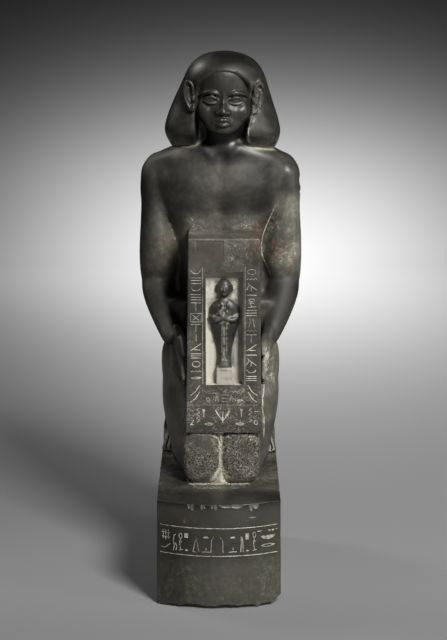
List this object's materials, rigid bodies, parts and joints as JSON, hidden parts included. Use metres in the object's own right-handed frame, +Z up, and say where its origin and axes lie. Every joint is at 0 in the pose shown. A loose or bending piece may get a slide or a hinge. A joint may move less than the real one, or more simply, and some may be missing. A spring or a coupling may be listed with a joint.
{
  "type": "naophorous statue",
  "caption": "Kneeling man in a plain bag wig holding a shrine with a standing god, carved with its tall round-fronted base and back pillar from dark hard stone.",
  "frame": {"origin": "middle of the statue's overall outline, on the plane it stands on", "axes": "+Z up, -Y to the statue's front, +X to the right of a viewer who looks at its front"},
  "size_m": [0.1552, 0.21, 0.5],
  "materials": {
    "stone": "smoothed and softly polished dark grey-green hard stone, rough and speckled on the knees and round the carving"
  },
  "bodies": {
    "root": {"naophorous_statue": "stone"}
  },
  "joints": []
}
